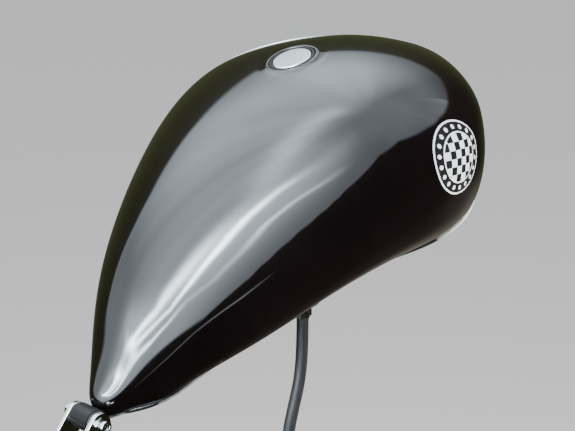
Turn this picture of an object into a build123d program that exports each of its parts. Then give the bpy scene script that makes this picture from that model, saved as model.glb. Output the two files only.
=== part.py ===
from build123d import *
from math import atan2, cos, pi, radians, sin, tan
import os

# Fuel tank of a chopper, with its mounts, filler cap, fuel tap and fuel hose, in millimetres.
# Row frame: +X forward, +Y left, +Z up, as mounted on the bike, origin at the front mount's centre.
# Tank axes: x from the tail tip to the nose along the backbone, y left, z square to the backbone.

# Place of the tank axes
BACKBONE_SLOPE = 22.0
FRONT_BOLT_X = 508.0
FRONT_BOLT_Z = -13.0

# Sections of the tank, each square to the backbone, from the tail to the nose.
# Columns: station x, crown height, half width, height of the widest point,
# height of the seam, half width at the seam.
SECTIONS = [
    (0, 14, 10, 5, -3, 8),
    (16, 32, 27, 11, -4, 23),
    (44, 66, 49, 21, -5, 44),
    (87, 113, 80, 34, -2, 56),
    (158, 159, 122, 56, 6, 73),
    (228, 186, 156, 79, 14, 92),
    (305, 202, 187, 98, 12, 118),
    (381, 205, 198, 106, 2, 142),
    (446, 191, 174, 104, 0, 133),
    (495, 169, 135, 97, 8, 100),
    (525, 149, 98, 94, 26, 68),
    (544, 133, 66, 93, 52, 36),
    (552, 121, 46, 92, 63, 23),
    (557, 110, 28, 91, 72, 12),
]
SEAM_LIP = 2.2
PAN_THICK = 2.5
SKIN_SINK = 1.0

# Tunnel for the frame's backbone tube
TUNNEL_HALF = 30.0
TUNNEL_SHEET = 2.0
TUNNEL_CORNER = 20.0
TUNNEL_FOOT_X = 58.0
TUNNEL_KNEE = (150.0, 48.0)
TUNNEL_MOUTH_Z = 56.0
PAST_NOSE = 580.0
BELOW_PAN = -60.0

# Filler neck and pop-up cap
CAP_X = 372.0
CROWN_AT_CAP = 205.0
NECK_R = 29.5
NECK_DEEP = 24.0
NECK_PROUD = 2.4
RIM_BEVEL = 1.3
THROAT_R = 19.5
WELL_DEEP = 62.0
FLANGE_R = 25.8
FLANGE_TOP = 2.2
FLANGE_BOTTOM = -3.8
SEAT_Z = -4.4
KNOB_R = 22.0
KNOB_THICK = 3.4
STEM_R = 13.8
STEM_LONG = 12.0
PLUG_R = 19.2
PLUG_BOTTOM = -21.0
PLUG_BEVEL = 1.0
FLANGE_BEVEL = 0.6
KNOB_BEVEL = 0.8
STEM_WALL = 3.0
FIT_GAP = 0.3
SEAL_IN = 20.6
SEAL_OUT = 24.6
SEAL_GROOVE = 1.0

# Front mount: two ears, each with a rubber grommet and a steel sleeve for an M8 bolt
EAR_IN = 33.0
EAR_THICK = 5.0
EAR_R = 17.0
EAR_ROOT_HALF = 22.0
EAR_ROOT_Z = 40.0
GROMMET_HOLE_R = 10.0
GROMMET_R = 13.5
GROMMET_FLANGE = 2.0
SLEEVE_R = 6.0
SLEEVE_BORE_R = 4.2
SLEEVE_PROUD = 0.5

# Rear mount: an eye tube at the tail tip between the cheeks of a clevis bracket
EYE_X = -14.0
EYE_Z = 1.0
EYE_R = 13.0
EYE_BORE_R = 9.5
EYE_HALF = 14.0
GUSSET_DROP = 5.5
GUSSET_HIGH = 5.0
GUSSET_LONG = 36.0
GUSSET_AHEAD = 8.0
BUSH_FLANGE = 2.5
BUSH_FLANGE_R = 12.0
CHEEK_GAP_HALF = 17.0
CHEEK_THICK = 6.0
CHEEK_R = 12.0
CHEEK_TILT = 52.0
CHEEK_LONG = 58.0
BASE_THICK = 8.0
BASE_HOLE_R = 4.2
BOLT_R = 4.0
BOLT_HEAD_R = 6.5
BOLT_HEAD_LONG = 8.0
BOLT_BEVEL = 0.8
BOLT_PAST_NUT = 2.0
HEX_KEY = 6.0
WASHER_R = 8.0
WASHER_THICK = 1.6
NUT_HEX = 13.0
NUT_LONG = 8.0

# Fuel tap under the right half
TAP_X = 250.0
TAP_Y = -50.0
PAN_AT_TAP = 14.0
BUNG_R = 14.0
BUNG_DROP = 6.0
TAP_NUT_HEX = 24.0
TAP_NUT_LONG = 7.0
TAP_BODY_R = 9.5
TAP_BODY_LONG = 19.0
LEVER_DROP = 11.0
BOSS_R = 7.0
BOSS_LONG = 10.0
LEVER_HUB_R = 6.0
LEVER_THICK = 3.0
LEVER_LONG = 14.0
LEVER_END_R = 3.75
LEVER_PIP_R = 3.0
LEVER_PIP_LONG = 1.5
BODY_BEVEL = 2.0
SPIGOT_R = 4.0
SPIGOT_LONG = 20.0
SPIGOT_SINK = 5.0

# Fuel hose, from the tap's spigot down to its end fitting
HOSE_R = 6.75
HOSE_TO_BODY = 4.0
ARC_SHARE = 0.45
CLAMP_WIDE = 9.0
CLAMP_THICK = 1.0
CLAMP_DROP = 5.0
END_HEX = 15.0
END_HEX_LONG = 7.0
END_TAIL_R = 4.5
END_TAIL_LONG = 15.0
# Points of the hose's route below its top end, in the row frame: forward, left, down
HOSE_ROUTE = [
    (0.0, 0.0, 0.0),
    (0.0, 0.0, 46.0),
    (-5.0, -1.0, 86.0),
    (-15.0, 2.0, 127.0),
    (-19.0, 7.0, 168.0),
    (-19.0, 8.0, 204.0),
]

slope = radians(BACKBONE_SLOPE)
FORE = Vector(cos(slope), 0, sin(slope))
UP = Vector(-sin(slope), 0, cos(slope))
LEFT = Vector(0, 1, 0)
TANK = Plane(origin=-(FORE * FRONT_BOLT_X + UP * FRONT_BOLT_Z), x_dir=FORE, z_dir=UP)


def tank_point(x, y, z):
    """A point given in tank axes, in the row frame."""
    return TANK.from_local_coords(Vector(x, y, z))


def across(x):
    """The plane of the section at station x: its own axes are left and up."""
    return Plane(origin=tank_point(x, 0, 0), x_dir=LEFT, z_dir=FORE)


def side(x, y, z):
    """A plane seen from the right side, with its own axes fore and up, also for turned profiles."""
    return Plane(origin=tank_point(x, y, z), x_dir=FORE, z_dir=-LEFT)


def stacked(x, y, z):
    """A plane parallel to the backbone at a point, for what is turned about tank z."""
    return Plane(origin=tank_point(x, y, z), x_dir=FORE, z_dir=UP)


def skin_section(station, crown, half, wide_at, seam, seam_half):
    """Half an ellipse over the widest point, an arc tucked in to the seam, and a flat floor."""
    floor = seam - SKIN_SINK
    tuck = half - seam_half
    drop = wide_at - floor
    radius = (tuck * tuck + drop * drop) / (2 * tuck)
    turn = atan2(drop, radius - tuck) / 2
    middle = (half - radius + radius * cos(turn), wide_at - radius * sin(turn))
    with BuildSketch(across(station)) as section:
        with BuildLine():
            EllipticalCenterArc((0, wide_at), half, crown - wide_at, start_angle=0, arc_size=90)
            ThreePointArc((half, wide_at), middle, (seam_half, floor))
            Line((seam_half, floor), (0, floor))
            mirror(about=Plane.YZ)
        make_face()
    return section.sketch


def pan_section(station, seam, seam_half):
    """The bottom pan, flat and wider than the skin by the seam lip."""
    with BuildSketch(across(station)) as section:
        with Locations((0, seam - PAN_THICK / 2)):
            Rectangle(2 * (seam_half + SEAM_LIP), PAN_THICK)
    return section.sketch


def ring(plane, outer, inner, low, high):
    """A plain turned ring about the plane's own z."""
    with BuildPart() as made:
        with BuildSketch(plane.offset(low)):
            Circle(outer)
            Circle(inner, mode=Mode.SUBTRACT)
        extrude(amount=high - low)
    return made.part


def tunnel_form(half, roof_up, corner):
    """The tunnel's outline in side view, drawn out to both sides, with rounded roof edges."""
    with BuildPart() as made:
        with BuildSketch(side(0, 0, 0)):
            with BuildLine():
                Polyline(
                    (TUNNEL_FOOT_X, BELOW_PAN),
                    (TUNNEL_FOOT_X - roof_up, -2 * PAN_THICK),
                    (TUNNEL_KNEE[0] - roof_up / 2, TUNNEL_KNEE[1] + roof_up),
                    (PAST_NOSE, TUNNEL_MOUTH_Z + roof_up),
                    (PAST_NOSE, BELOW_PAN),
                    close=True,
                )
            make_face()
        extrude(amount=half, both=True)
        roof = made.edges().filter_by(lambda e: abs(e.center().Y) > half - 1)
        roof = roof.filter_by(lambda e: (e.center() - TANK.origin).dot(UP) > TUNNEL_KNEE[1] / 3)
        fillet(roof.filter_by(lambda e: e.length > corner and abs(e.tangent_at(0.5).dot(FORE)) > 0.5), corner)
    return made.part


# Tank skin as one closed form, and the bottom pan with the seam lip
with BuildPart() as whole_skin:
    for row in SECTIONS:
        add(skin_section(*row))
    loft()

with BuildPart() as whole_pan:
    for station, crown, half, wide_at, seam, seam_half in SECTIONS:
        add(pan_section(station, seam, seam_half))
    loft()

tunnel_outer = tunnel_form(TUNNEL_HALF + TUNNEL_SHEET, TUNNEL_SHEET, TUNNEL_CORNER + TUNNEL_SHEET)
tunnel_space = tunnel_form(TUNNEL_HALF, 0, TUNNEL_CORNER)

filler_axis = stacked(CAP_X, 0, CROWN_AT_CAP)
tap_axis = stacked(TAP_X, TAP_Y, PAN_AT_TAP)

# Painted shell: the upper skin, cut for the tunnel, the filler bung and the filler well
with BuildPart() as tank_shell:
    add(whole_skin.part)
    add(whole_pan.part, mode=Mode.SUBTRACT)
    add(tunnel_outer, mode=Mode.SUBTRACT)
    with BuildSketch(filler_axis.offset(-NECK_DEEP)):
        Circle(NECK_R)
    extrude(amount=2 * NECK_DEEP, mode=Mode.SUBTRACT)
    with BuildSketch(filler_axis.offset(-WELL_DEEP)):
        Circle(THROAT_R)
    extrude(amount=WELL_DEEP, mode=Mode.SUBTRACT)

# Bottom pan
with BuildPart() as tank_bottom:
    add(whole_pan.part)
    add(tunnel_outer, mode=Mode.SUBTRACT)
    with BuildSketch(tap_axis.offset(-2 * BUNG_DROP)):
        Circle(BUNG_R)
    extrude(amount=4 * BUNG_DROP, mode=Mode.SUBTRACT)

# Tunnel sheet, ending with the skin at the nose and with the pan below
with BuildPart() as backbone_tunnel:
    add(tunnel_outer)
    add(tunnel_space, mode=Mode.SUBTRACT)
    with BuildPart(mode=Mode.INTERSECT):
        add(whole_skin.part)
        add(whole_pan.part)

# Filler bung with the cap's seat, and the raised rim round the cap
filler_neck = ring(filler_axis, NECK_R, THROAT_R, -NECK_DEEP, SEAT_Z)
with BuildPart() as neck_rim:
    add(ring(filler_axis, NECK_R, FLANGE_R + FIT_GAP, SEAT_Z, NECK_PROUD))
    round_edges = neck_rim.edges().filter_by(GeomType.CIRCLE)
    chamfer(round_edges.sort_by(Axis(filler_axis.origin, UP))[-2:], RIM_BEVEL / 2)

# Heights that the cap and its knob share
knob_bottom = FLANGE_TOP - KNOB_THICK
stem_bottom = knob_bottom - STEM_LONG
pocket_floor = stem_bottom - PLUG_BEVEL

# Cap body: flange with the knob's pocket, and the plug that screws into the bung
with BuildPart() as cap_body:
    with BuildSketch(side(CAP_X, 0, CROWN_AT_CAP)):
        with BuildLine():
            Polyline(
                (0, PLUG_BOTTOM),
                (PLUG_R - PLUG_BEVEL, PLUG_BOTTOM),
                (PLUG_R, PLUG_BOTTOM + PLUG_BEVEL),
                (PLUG_R, FLANGE_BOTTOM),
                (SEAL_IN, FLANGE_BOTTOM),
                (SEAL_IN, FLANGE_BOTTOM + SEAL_GROOVE),
                (SEAL_OUT, FLANGE_BOTTOM + SEAL_GROOVE),
                (SEAL_OUT, FLANGE_BOTTOM),
                (FLANGE_R, FLANGE_BOTTOM),
                (FLANGE_R, FLANGE_TOP - FLANGE_BEVEL),
                (FLANGE_R - FLANGE_BEVEL, FLANGE_TOP),
                (KNOB_R + FIT_GAP, FLANGE_TOP),
                (KNOB_R + FIT_GAP, knob_bottom),
                (STEM_R + FIT_GAP, knob_bottom),
                (STEM_R + FIT_GAP, pocket_floor),
                (0, pocket_floor),
                close=True,
            )
        make_face()
    revolve(axis=Axis(filler_axis.origin, UP))

cap_seal = ring(filler_axis, SEAL_OUT, SEAL_IN, SEAT_Z, FLANGE_BOTTOM + SEAL_GROOVE)

# Pop-up knob: a flat polished disc with a knurled edge on a hollow stem
with BuildPart() as cap_knob:
    with BuildSketch(side(CAP_X, 0, CROWN_AT_CAP)):
        with BuildLine():
            Polyline(
                (0, knob_bottom),
                (STEM_R - STEM_WALL, knob_bottom),
                (STEM_R - STEM_WALL, stem_bottom),
                (STEM_R, stem_bottom),
                (STEM_R, knob_bottom),
                (KNOB_R, knob_bottom),
                (KNOB_R, FLANGE_TOP - KNOB_BEVEL),
                (KNOB_R - KNOB_BEVEL, FLANGE_TOP),
                (0, FLANGE_TOP),
                close=True,
            )
        make_face()
    revolve(axis=Axis(filler_axis.origin, UP))

# Front ears, welded under the pan on both sides of the tunnel's mouth
with BuildPart() as front_ears:
    for inner_face in (-EAR_IN, EAR_IN + EAR_THICK):
        with BuildSketch(side(FRONT_BOLT_X, inner_face, FRONT_BOLT_Z)):
            Circle(EAR_R)
            with BuildLine():
                Polyline(
                    (-EAR_R, 0),
                    (EAR_R, 0),
                    (EAR_ROOT_HALF, EAR_ROOT_Z - FRONT_BOLT_Z),
                    (-EAR_ROOT_HALF, EAR_ROOT_Z - FRONT_BOLT_Z),
                    close=True,
                )
            make_face()
            Circle(GROMMET_HOLE_R, mode=Mode.SUBTRACT)
        extrude(amount=EAR_THICK)
    add(whole_skin.part, mode=Mode.SUBTRACT)
    add(whole_pan.part, mode=Mode.SUBTRACT)

# Rubber grommets in the ears, and the steel sleeves in them
front_axis = Plane(origin=tank_point(FRONT_BOLT_X, 0, FRONT_BOLT_Z), x_dir=FORE, z_dir=LEFT)
ear_low = EAR_IN - GROMMET_FLANGE
ear_high = EAR_IN + EAR_THICK + GROMMET_FLANGE
with BuildPart() as front_grommets:
    for low, high in ((-ear_high, -ear_low), (ear_low, ear_high)):
        add(ring(front_axis, GROMMET_HOLE_R, SLEEVE_R, low, high))
        add(ring(front_axis, GROMMET_R, SLEEVE_R, low, low + GROMMET_FLANGE))
        add(ring(front_axis, GROMMET_R, SLEEVE_R, high - GROMMET_FLANGE, high))

with BuildPart() as front_sleeves:
    for low, high in ((-ear_high, -ear_low), (ear_low, ear_high)):
        add(ring(front_axis, SLEEVE_R, SLEEVE_BORE_R, low - SLEEVE_PROUD, high + SLEEVE_PROUD))

# Rear eye tube, with the tail of the tank welded to it
eye_axis = Plane(origin=tank_point(EYE_X, 0, EYE_Z), x_dir=FORE, z_dir=LEFT)
with BuildPart() as rear_eye:
    with BuildSketch(eye_axis.offset(-EYE_HALF)):
        Circle(EYE_R)
    extrude(amount=2 * EYE_HALF)
    with BuildSketch(side(EYE_X, EYE_HALF / 2, EYE_Z)):
        with Locations((EYE_R + GUSSET_AHEAD, -GUSSET_DROP)):
            Rectangle(GUSSET_LONG, GUSSET_HIGH)
    extrude(amount=EYE_HALF)
    add(whole_skin.part, mode=Mode.SUBTRACT)
    add(whole_pan.part, mode=Mode.SUBTRACT)
    with BuildSketch(eye_axis.offset(-EYE_HALF)):
        Circle(EYE_BORE_R)
    extrude(amount=2 * EYE_HALF, mode=Mode.SUBTRACT)

with BuildPart() as rear_bush:
    add(ring(eye_axis, EYE_BORE_R, SLEEVE_R, -EYE_HALF, EYE_HALF))
    for low in (-EYE_HALF - BUSH_FLANGE, EYE_HALF):
        add(ring(eye_axis, BUSH_FLANGE_R, SLEEVE_R, low, low + BUSH_FLANGE))

rear_sleeve = ring(eye_axis, SLEEVE_R, SLEEVE_BORE_R, -CHEEK_GAP_HALF, CHEEK_GAP_HALF)

# Clevis bracket: two cheeks that run down and back to a base plate with its bolt hole
tilt = radians(CHEEK_TILT)
BACK_DOWN = Vector(-cos(tilt), 0, -sin(tilt))
cheek_plane = Plane(origin=eye_axis.origin, x_dir=BACK_DOWN, z_dir=LEFT)
with BuildPart() as rear_bracket:
    for low in (-CHEEK_GAP_HALF - CHEEK_THICK, CHEEK_GAP_HALF):
        with BuildSketch(cheek_plane.offset(low)):
            Circle(CHEEK_R)
            with Locations((CHEEK_LONG / 2, 0)):
                Rectangle(CHEEK_LONG, 2 * CHEEK_R)
            Circle(SLEEVE_BORE_R, mode=Mode.SUBTRACT)
        extrude(amount=CHEEK_THICK)
    base_top = eye_axis.origin + BACK_DOWN * (CHEEK_LONG - BASE_THICK)
    base_plane = Plane(origin=base_top, x_dir=LEFT, z_dir=BACK_DOWN)
    with BuildSketch(base_plane):
        Rectangle(2 * CHEEK_GAP_HALF, 2 * CHEEK_R)
        Circle(BASE_HOLE_R, mode=Mode.SUBTRACT)
    extrude(amount=BASE_THICK)

# Socket-head bolt through the cheeks, from the right, with washers and a nut on the left
cheek_out = CHEEK_GAP_HALF + CHEEK_THICK
head_low = -cheek_out - WASHER_THICK - BOLT_HEAD_LONG
nut_low = cheek_out + WASHER_THICK
with BuildPart() as rear_bolt:
    with BuildSketch(eye_axis.offset(head_low)):
        Circle(BOLT_HEAD_R)
    extrude(amount=BOLT_HEAD_LONG)
    chamfer(rear_bolt.faces().sort_by(Axis.Y)[0].edges(), BOLT_BEVEL)
    with BuildSketch(eye_axis.offset(head_low)):
        RegularPolygon(HEX_KEY / 2, 6, major_radius=False)
    extrude(amount=BOLT_HEAD_LONG / 2, mode=Mode.SUBTRACT)
    with BuildSketch(eye_axis.offset(head_low + BOLT_HEAD_LONG)):
        Circle(BOLT_R)
    extrude(amount=nut_low + NUT_LONG + BOLT_PAST_NUT - head_low - BOLT_HEAD_LONG)

with BuildPart() as rear_washers:
    add(ring(eye_axis, WASHER_R, BOLT_R, -cheek_out - WASHER_THICK, -cheek_out))
    add(ring(eye_axis, WASHER_R, BOLT_R, cheek_out, nut_low))

with BuildPart() as rear_nut:
    with BuildSketch(eye_axis.offset(nut_low)):
        RegularPolygon(NUT_HEX / 2, 6, major_radius=False)
        Circle(BOLT_R, mode=Mode.SUBTRACT)
    extrude(amount=NUT_LONG)

# Bung of the fuel tap, welded into the pan
with BuildPart() as tap_bung:
    with BuildSketch(tap_axis.offset(-PAN_THICK - BUNG_DROP)):
        Circle(BUNG_R)
    extrude(amount=2 * BUNG_R)
    add(tank_shell.part, mode=Mode.SUBTRACT)

# Tap nut, body with the lever's boss, and the spigot that points straight down
bung_bottom = -PAN_THICK - BUNG_DROP
nut_bottom = bung_bottom - TAP_NUT_LONG
body_bottom = nut_bottom - TAP_BODY_LONG
with BuildPart() as tap_nut:
    with BuildSketch(tap_axis.offset(nut_bottom)):
        RegularPolygon(TAP_NUT_HEX / 2, 6, major_radius=False)
    extrude(amount=TAP_NUT_LONG)
    chamfer(tap_nut.faces().sort_by(Axis(filler_axis.origin, UP))[0].outer_wire().edges(), RIM_BEVEL)

lever_z = PAN_AT_TAP + nut_bottom - LEVER_DROP
lever_axis = Plane(origin=tank_point(TAP_X, TAP_Y, lever_z), x_dir=FORE, z_dir=-LEFT)
spigot_top = tank_point(TAP_X, TAP_Y, PAN_AT_TAP + body_bottom + SPIGOT_SINK)
spigot_plane = Plane(origin=spigot_top, x_dir=(1, 0, 0), z_dir=(0, 0, -1))
with BuildPart() as tap_body:
    with BuildSketch(tap_axis.offset(body_bottom)):
        Circle(TAP_BODY_R)
    extrude(amount=TAP_BODY_LONG)
    chamfer(tap_body.edges().filter_by(GeomType.CIRCLE).sort_by(Axis(filler_axis.origin, UP))[0], BODY_BEVEL)
    with BuildSketch(lever_axis):
        Circle(BOSS_R)
    extrude(amount=TAP_BODY_R + BOSS_LONG)
    with BuildSketch(spigot_plane):
        Circle(SPIGOT_R)
    extrude(amount=SPIGOT_LONG + SPIGOT_SINK)

lever_face = TAP_BODY_R + BOSS_LONG
with BuildPart() as tap_lever:
    with BuildSketch(lever_axis.offset(lever_face + FIT_GAP)):
        Circle(LEVER_HUB_R)
        with Locations((-LEVER_LONG / 2, 0)):
            Rectangle(LEVER_LONG, LEVER_HUB_R)
        with Locations((-LEVER_LONG, 0)):
            Circle(LEVER_END_R)
    extrude(amount=LEVER_THICK)
    with BuildSketch(lever_axis.offset(lever_face + FIT_GAP + LEVER_THICK)):
        Circle(LEVER_PIP_R)
    extrude(amount=LEVER_PIP_LONG)

# Fuel hose: straight runs with tangent arcs, as large as the runs allow
hose_top = spigot_top + Vector(0, 0, -SPIGOT_SINK - HOSE_TO_BODY)
route = [hose_top + Vector(x, y, -down) for x, y, down in HOSE_ROUTE]
radii = []
for before, here, after in zip(route, route[1:], route[2:]):
    shorter = min((here - before).length, (after - here).length)
    turn = (here - before).get_angle(after - here)
    radii.append(ARC_SHARE * shorter / tan(radians(turn / 2)))
print("hose radii", [round(radius) for radius in radii])
with BuildPart() as fuel_hose:
    with BuildLine() as hose_line:
        FilletPolyline(*route, radius=radii)
    with BuildSketch(Plane(origin=route[0], x_dir=(1, 0, 0), z_dir=route[1] - route[0])):
        Circle(HOSE_R)
    sweep()
    hose_length = hose_line.wires()[0].length
    volume_share = fuel_hose.part.volume / (pi * HOSE_R**2 * hose_length)
    print("hose length", round(hose_length, 1), "volume share", round(volume_share, 4))
    add(tap_body.part, mode=Mode.SUBTRACT)

clamp_axis = Plane(origin=hose_top, x_dir=(1, 0, 0), z_dir=(0, 0, -1))
hose_clamp = ring(clamp_axis, HOSE_R + CLAMP_THICK, HOSE_R, CLAMP_DROP, CLAMP_DROP + CLAMP_WIDE)

# End fitting: a hexagon and the tail that goes into the carburettor's inlet
end_way = route[-1] - route[-2]
end_plane = Plane(origin=route[-1], x_dir=(0, 1, 0), z_dir=end_way)
with BuildPart() as hose_end:
    with BuildSketch(end_plane):
        RegularPolygon(END_HEX / 2, 6, major_radius=False)
    extrude(amount=END_HEX_LONG)
    with BuildSketch(end_plane.offset(END_HEX_LONG)):
        Circle(END_TAIL_R)
    extrude(amount=END_TAIL_LONG)
    chamfer(hose_end.edges().filter_by(GeomType.CIRCLE).sort_by(Axis.Z)[0], BOLT_BEVEL)

end_clamp_plane = Plane(origin=route[-1], x_dir=(0, 1, 0), z_dir=-end_way)
end_clamp = ring(end_clamp_plane, HOSE_R + CLAMP_THICK, HOSE_R, CLAMP_DROP, CLAMP_DROP + CLAMP_WIDE)

pieces = {
    "tank_shell": tank_shell.part,
    "tank_bottom": tank_bottom.part,
    "backbone_tunnel": backbone_tunnel.part,
    "filler_neck": filler_neck,
    "neck_rim": neck_rim.part,
    "cap_body": cap_body.part,
    "cap_seal": cap_seal,
    "cap_knob": cap_knob.part,
    "front_ears": front_ears.part,
    "front_grommets": front_grommets.part,
    "front_sleeves": front_sleeves.part,
    "rear_eye": rear_eye.part,
    "rear_bush": rear_bush.part,
    "rear_sleeve": rear_sleeve,
    "rear_bracket": rear_bracket.part,
    "rear_bolt": rear_bolt.part,
    "rear_washers": rear_washers.part,
    "rear_nut": rear_nut.part,
    "tap_bung": tap_bung.part,
    "tap_nut": tap_nut.part,
    "tap_body": tap_body.part,
    "tap_lever": tap_lever.part,
    "fuel_hose": fuel_hose.part,
    "hose_clamp": hose_clamp,
    "hose_end": hose_end.part,
    "end_clamp": end_clamp,
}
os.makedirs("parts", exist_ok=True)
for name, part in pieces.items():
    part.label = name
    export_step(part, f"parts/{name}.step")
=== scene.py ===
from math import cos, pi, radians, sin

import bmesh
import bpy
import numpy as np
from mathutils import Matrix


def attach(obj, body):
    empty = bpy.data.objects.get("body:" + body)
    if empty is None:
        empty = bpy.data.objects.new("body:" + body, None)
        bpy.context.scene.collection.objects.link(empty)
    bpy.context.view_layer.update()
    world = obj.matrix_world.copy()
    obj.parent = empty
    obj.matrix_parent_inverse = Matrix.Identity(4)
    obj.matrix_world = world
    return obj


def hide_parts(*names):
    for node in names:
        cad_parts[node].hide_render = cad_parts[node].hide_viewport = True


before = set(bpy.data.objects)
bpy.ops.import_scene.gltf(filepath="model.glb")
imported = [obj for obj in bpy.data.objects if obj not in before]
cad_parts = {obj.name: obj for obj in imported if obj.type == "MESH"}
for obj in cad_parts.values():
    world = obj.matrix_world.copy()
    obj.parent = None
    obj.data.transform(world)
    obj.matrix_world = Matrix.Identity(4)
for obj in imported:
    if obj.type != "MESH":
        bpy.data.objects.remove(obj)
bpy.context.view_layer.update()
scene = bpy.context.scene
MM = 0.001

# Camera, where the photograph was taken from, in metres and degrees, and its lens
CAMERA_AT = (-1.25236, -1.11227, 0.39690)
CAMERA_AZIMUTH = -43.02
CAMERA_ELEVATION = 15.385
CAMERA_ROLL = 0.068
FOCAL_PIXELS = 1427.9
PHOTO_WIDTH_PIXELS = 575
SENSOR_WIDTH = 36.0
NEAREST = 0.02
FURTHEST = 60.0

# Place of the tank axes: x from the tail tip to the nose, y left, z square to the backbone
BACKBONE_SLOPE = radians(22)
MOUNT_X = 508.0
MOUNT_Z = -13.0
FORE = np.array([cos(BACKBONE_SLOPE), 0.0, sin(BACKBONE_SLOPE)])
LEFT = np.array([0.0, 1.0, 0.0])
UP = np.array([-sin(BACKBONE_SLOPE), 0.0, cos(BACKBONE_SLOPE)])
DOWN = np.array([0.0, 0.0, -1.0])
TAIL_TIP = -(FORE * MOUNT_X + UP * MOUNT_Z)

# Sections of the tank: station, crown, half width, widest height, seam height, seam half width
SECTIONS = (
    (0, 14, 10, 5, -3, 8), (16, 32, 27, 11, -4, 23), (44, 66, 49, 21, -5, 44), (87, 113, 80, 34, -2, 56),
    (158, 159, 122, 56, 6, 73), (228, 186, 156, 79, 14, 92), (305, 202, 187, 98, 12, 118),
    (381, 205, 198, 106, 2, 142), (446, 191, 174, 104, 0, 133), (495, 169, 135, 97, 8, 100),
    (525, 149, 98, 94, 26, 68), (544, 133, 66, 93, 52, 36), (552, 121, 46, 92, 63, 23), (557, 110, 28, 91, 72, 12),
)
TAIL_POLE = (-2.0, 4.0)
NOSE_POLE = (560.5, 91.0)
SKIN_THICK = 1.6
PAN_THICK = 2.5

# How far the skin ends below the seam height, and the steps of its grid
SEAM_SINK = 1.0
FLANK_STEPS = 34
CROWN_STEPS = 118
STATION_STEPS = 230

# Filler
CAP_X = 372.0
CAP_Z = 205.0
NECK_R = 29.5
NECK_DEEP = 24.0
NECK_PROUD = 2.4
THROAT_R = 19.5
WELL_DEEP = 62.0
WELL_SHEET = 1.5
SKIN_HOLE_R = 27.8
KNOB_R = 22.0

# Tap and hose: the drops are from the pan to the spigot's root and to the lever's axis, and from that root to the hose
TAP_X = 250.0
TAP_Y = -50.0
PAN_AT_TAP = 14.0
SPIGOT_DROP = 29.5
LEVER_DROP = 26.5
HOSE_DROP = 9.0
HOSE_R = 6.75
HOSE_ROUTE = (
    (0.0, 0.0, 0.0),
    (0.0, 0.0, 46.0),
    (-5.0, -1.0, 86.0),
    (-15.0, 2.0, 127.0),
    (-19.0, 7.0, 168.0),
    (-19.0, 8.0, 204.0),
)

# Rear eye and its bracket
EYE_X = -14.0
EYE_Z = 1.0
CHEEK_TILT = radians(52)
CHEEK_THICK = 6
BASE_AT = 50


def smooth(value, low, high):
    """Rises from 0 at low to 1 at high along the cubic 3t^2 - 2t^3."""
    t = np.clip((value - low) / (high - low), 0, 1)
    return t * t * (3 - 2 * t)


def unit(vectors):
    """Vectors divided by their lengths."""
    return vectors / np.linalg.norm(vectors, axis=-1, keepdims=True)


def row_point(x, y, z):
    """A point in tank axes, in the row frame, still in millimetres."""
    return TAIL_TIP + FORE * x + LEFT * y + UP * z


def place(points, origin=TAIL_TIP, axis_x=FORE, axis_y=LEFT, axis_z=UP):
    """Local points, or points in tank axes: the origin plus each coordinate along its axis, in metres."""
    return (origin + np.asarray(points, float) @ np.stack([axis_x, axis_y, axis_z])) * MM


def full_turn(count):
    """Evenly spaced angles of one full turn."""
    return np.linspace(0, 2 * pi, count, endpoint=False)


def spokes(angle):
    """Unit vectors in a plane at these angles: cosine and sine."""
    return np.stack([np.cos(angle), np.sin(angle)], -1)


def run_along(line):
    """Distance of each point of a line from its start: the running sum of its steps."""
    return np.concatenate([[0], np.cumsum(np.linalg.norm(np.diff(line, axis=0), axis=1))])


def square_to(way):
    """Two unit vectors square to each direction and to each other, the first also square to X."""
    side = unit(np.cross(way, [1.0, 0.0, 0.0]))
    return side, np.cross(way, side)


def add_object(name, data):
    """A new object in the scene, at the origin."""
    made = bpy.data.objects.new(name, data)
    scene.collection.objects.link(made)
    return made


# Camera and hose line


def make_camera():
    """The camera looks level along +Y, is tipped down, and is turned to the photograph's azimuth."""
    lens = bpy.data.cameras.new("camera")
    lens.sensor_width = SENSOR_WIDTH
    lens.lens = SENSOR_WIDTH * FOCAL_PIXELS / PHOTO_WIDTH_PIXELS
    lens.clip_start, lens.clip_end = NEAREST, FURTHEST
    holder = add_object("camera", lens)
    turn = Matrix.Rotation(radians(CAMERA_AZIMUTH), 4, "Z")
    tip = Matrix.Rotation(radians(90 - CAMERA_ELEVATION), 4, "X")
    roll = Matrix.Rotation(radians(CAMERA_ROLL), 4, "Z")
    holder.matrix_world = Matrix.Translation(CAMERA_AT) @ turn @ tip @ roll
    scene.camera = holder


def read_line(points):
    """The smooth line that a NURBS spline of order 3 draws through its control points, read from its mesh."""
    curve = bpy.data.curves.new("hose_route", "CURVE")
    curve.dimensions = "3D"
    curve.resolution_u = 60
    spline = curve.splines.new("NURBS")
    spline.points.add(len(points) - 1)
    spline.points.foreach_set("co", np.column_stack([points, np.ones(len(points))]).ravel())
    spline.order_u = 3
    spline.use_endpoint_u = True
    holder = add_object("hose_route", curve)
    bpy.context.view_layer.update()
    mesh = bpy.data.meshes.new_from_object(holder)
    line = np.empty(len(mesh.vertices) * 3)
    mesh.vertices.foreach_get("co", line)
    bpy.data.objects.remove(holder)
    bpy.data.meshes.remove(mesh)
    return line.reshape(-1, 3)


make_camera()
spigot_top = row_point(TAP_X, TAP_Y, PAN_AT_TAP - SPIGOT_DROP)
hose_points = (spigot_top + DOWN * HOSE_DROP + np.array(HOSE_ROUTE) * [1, 1, -1]) * MM
hose_line = read_line(hose_points)

# Shared effects and finishes


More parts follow.
